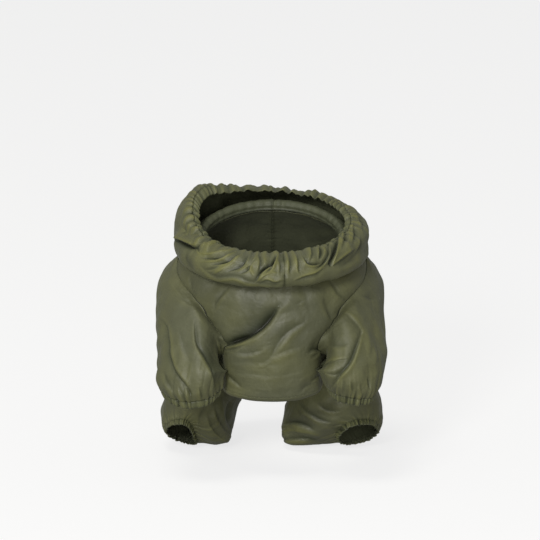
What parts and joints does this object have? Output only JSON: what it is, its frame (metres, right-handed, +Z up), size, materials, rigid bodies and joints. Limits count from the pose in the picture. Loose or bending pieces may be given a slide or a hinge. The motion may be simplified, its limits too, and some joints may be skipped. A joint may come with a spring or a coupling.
{
  "type": "dog raincoat",
  "caption": "Full-body raincoat for a small dog in thin olive nylon, with covered legs, elastic cuffs and a hood worn down as a gathered cowl, open along the belly.",
  "frame": {"origin": "the point between the wearer's shoulders where the coat is carried, inside the empty body of the coat; the floor that it is worn over is 0.150 m below", "axes": "+X to the right as seen from the front of the coat, +Y to the back, +Z up"},
  "size_m": [0.1864, 0.2254, 0.2245],
  "materials": {
    "nylon_shell": "plain-woven nylon taffeta with a soft sheen",
    "elastic_casing": "the same nylon, folded over and gathered on narrow elastic"
  },
  "bodies": {
    "root": {"chest_panel": "nylon_shell", "back_left": "nylon_shell", "back_right": "nylon_shell", "sleeve_left": "nylon_shell", "sleeve_right": "nylon_shell", "hood_left": "nylon_shell", "hood_right": "nylon_shell", "hind_leg_left": "nylon_shell", "hind_leg_right": "nylon_shell", "back_placket": "elastic_casing", "sleeve_cuff_left": "elastic_casing", "sleeve_cuff_right": "elastic_casing", "hood_edge": "elastic_casing", "hind_cuff_left": "elastic_casing", "hind_cuff_right": "elastic_casing"}
  },
  "joints": []
}
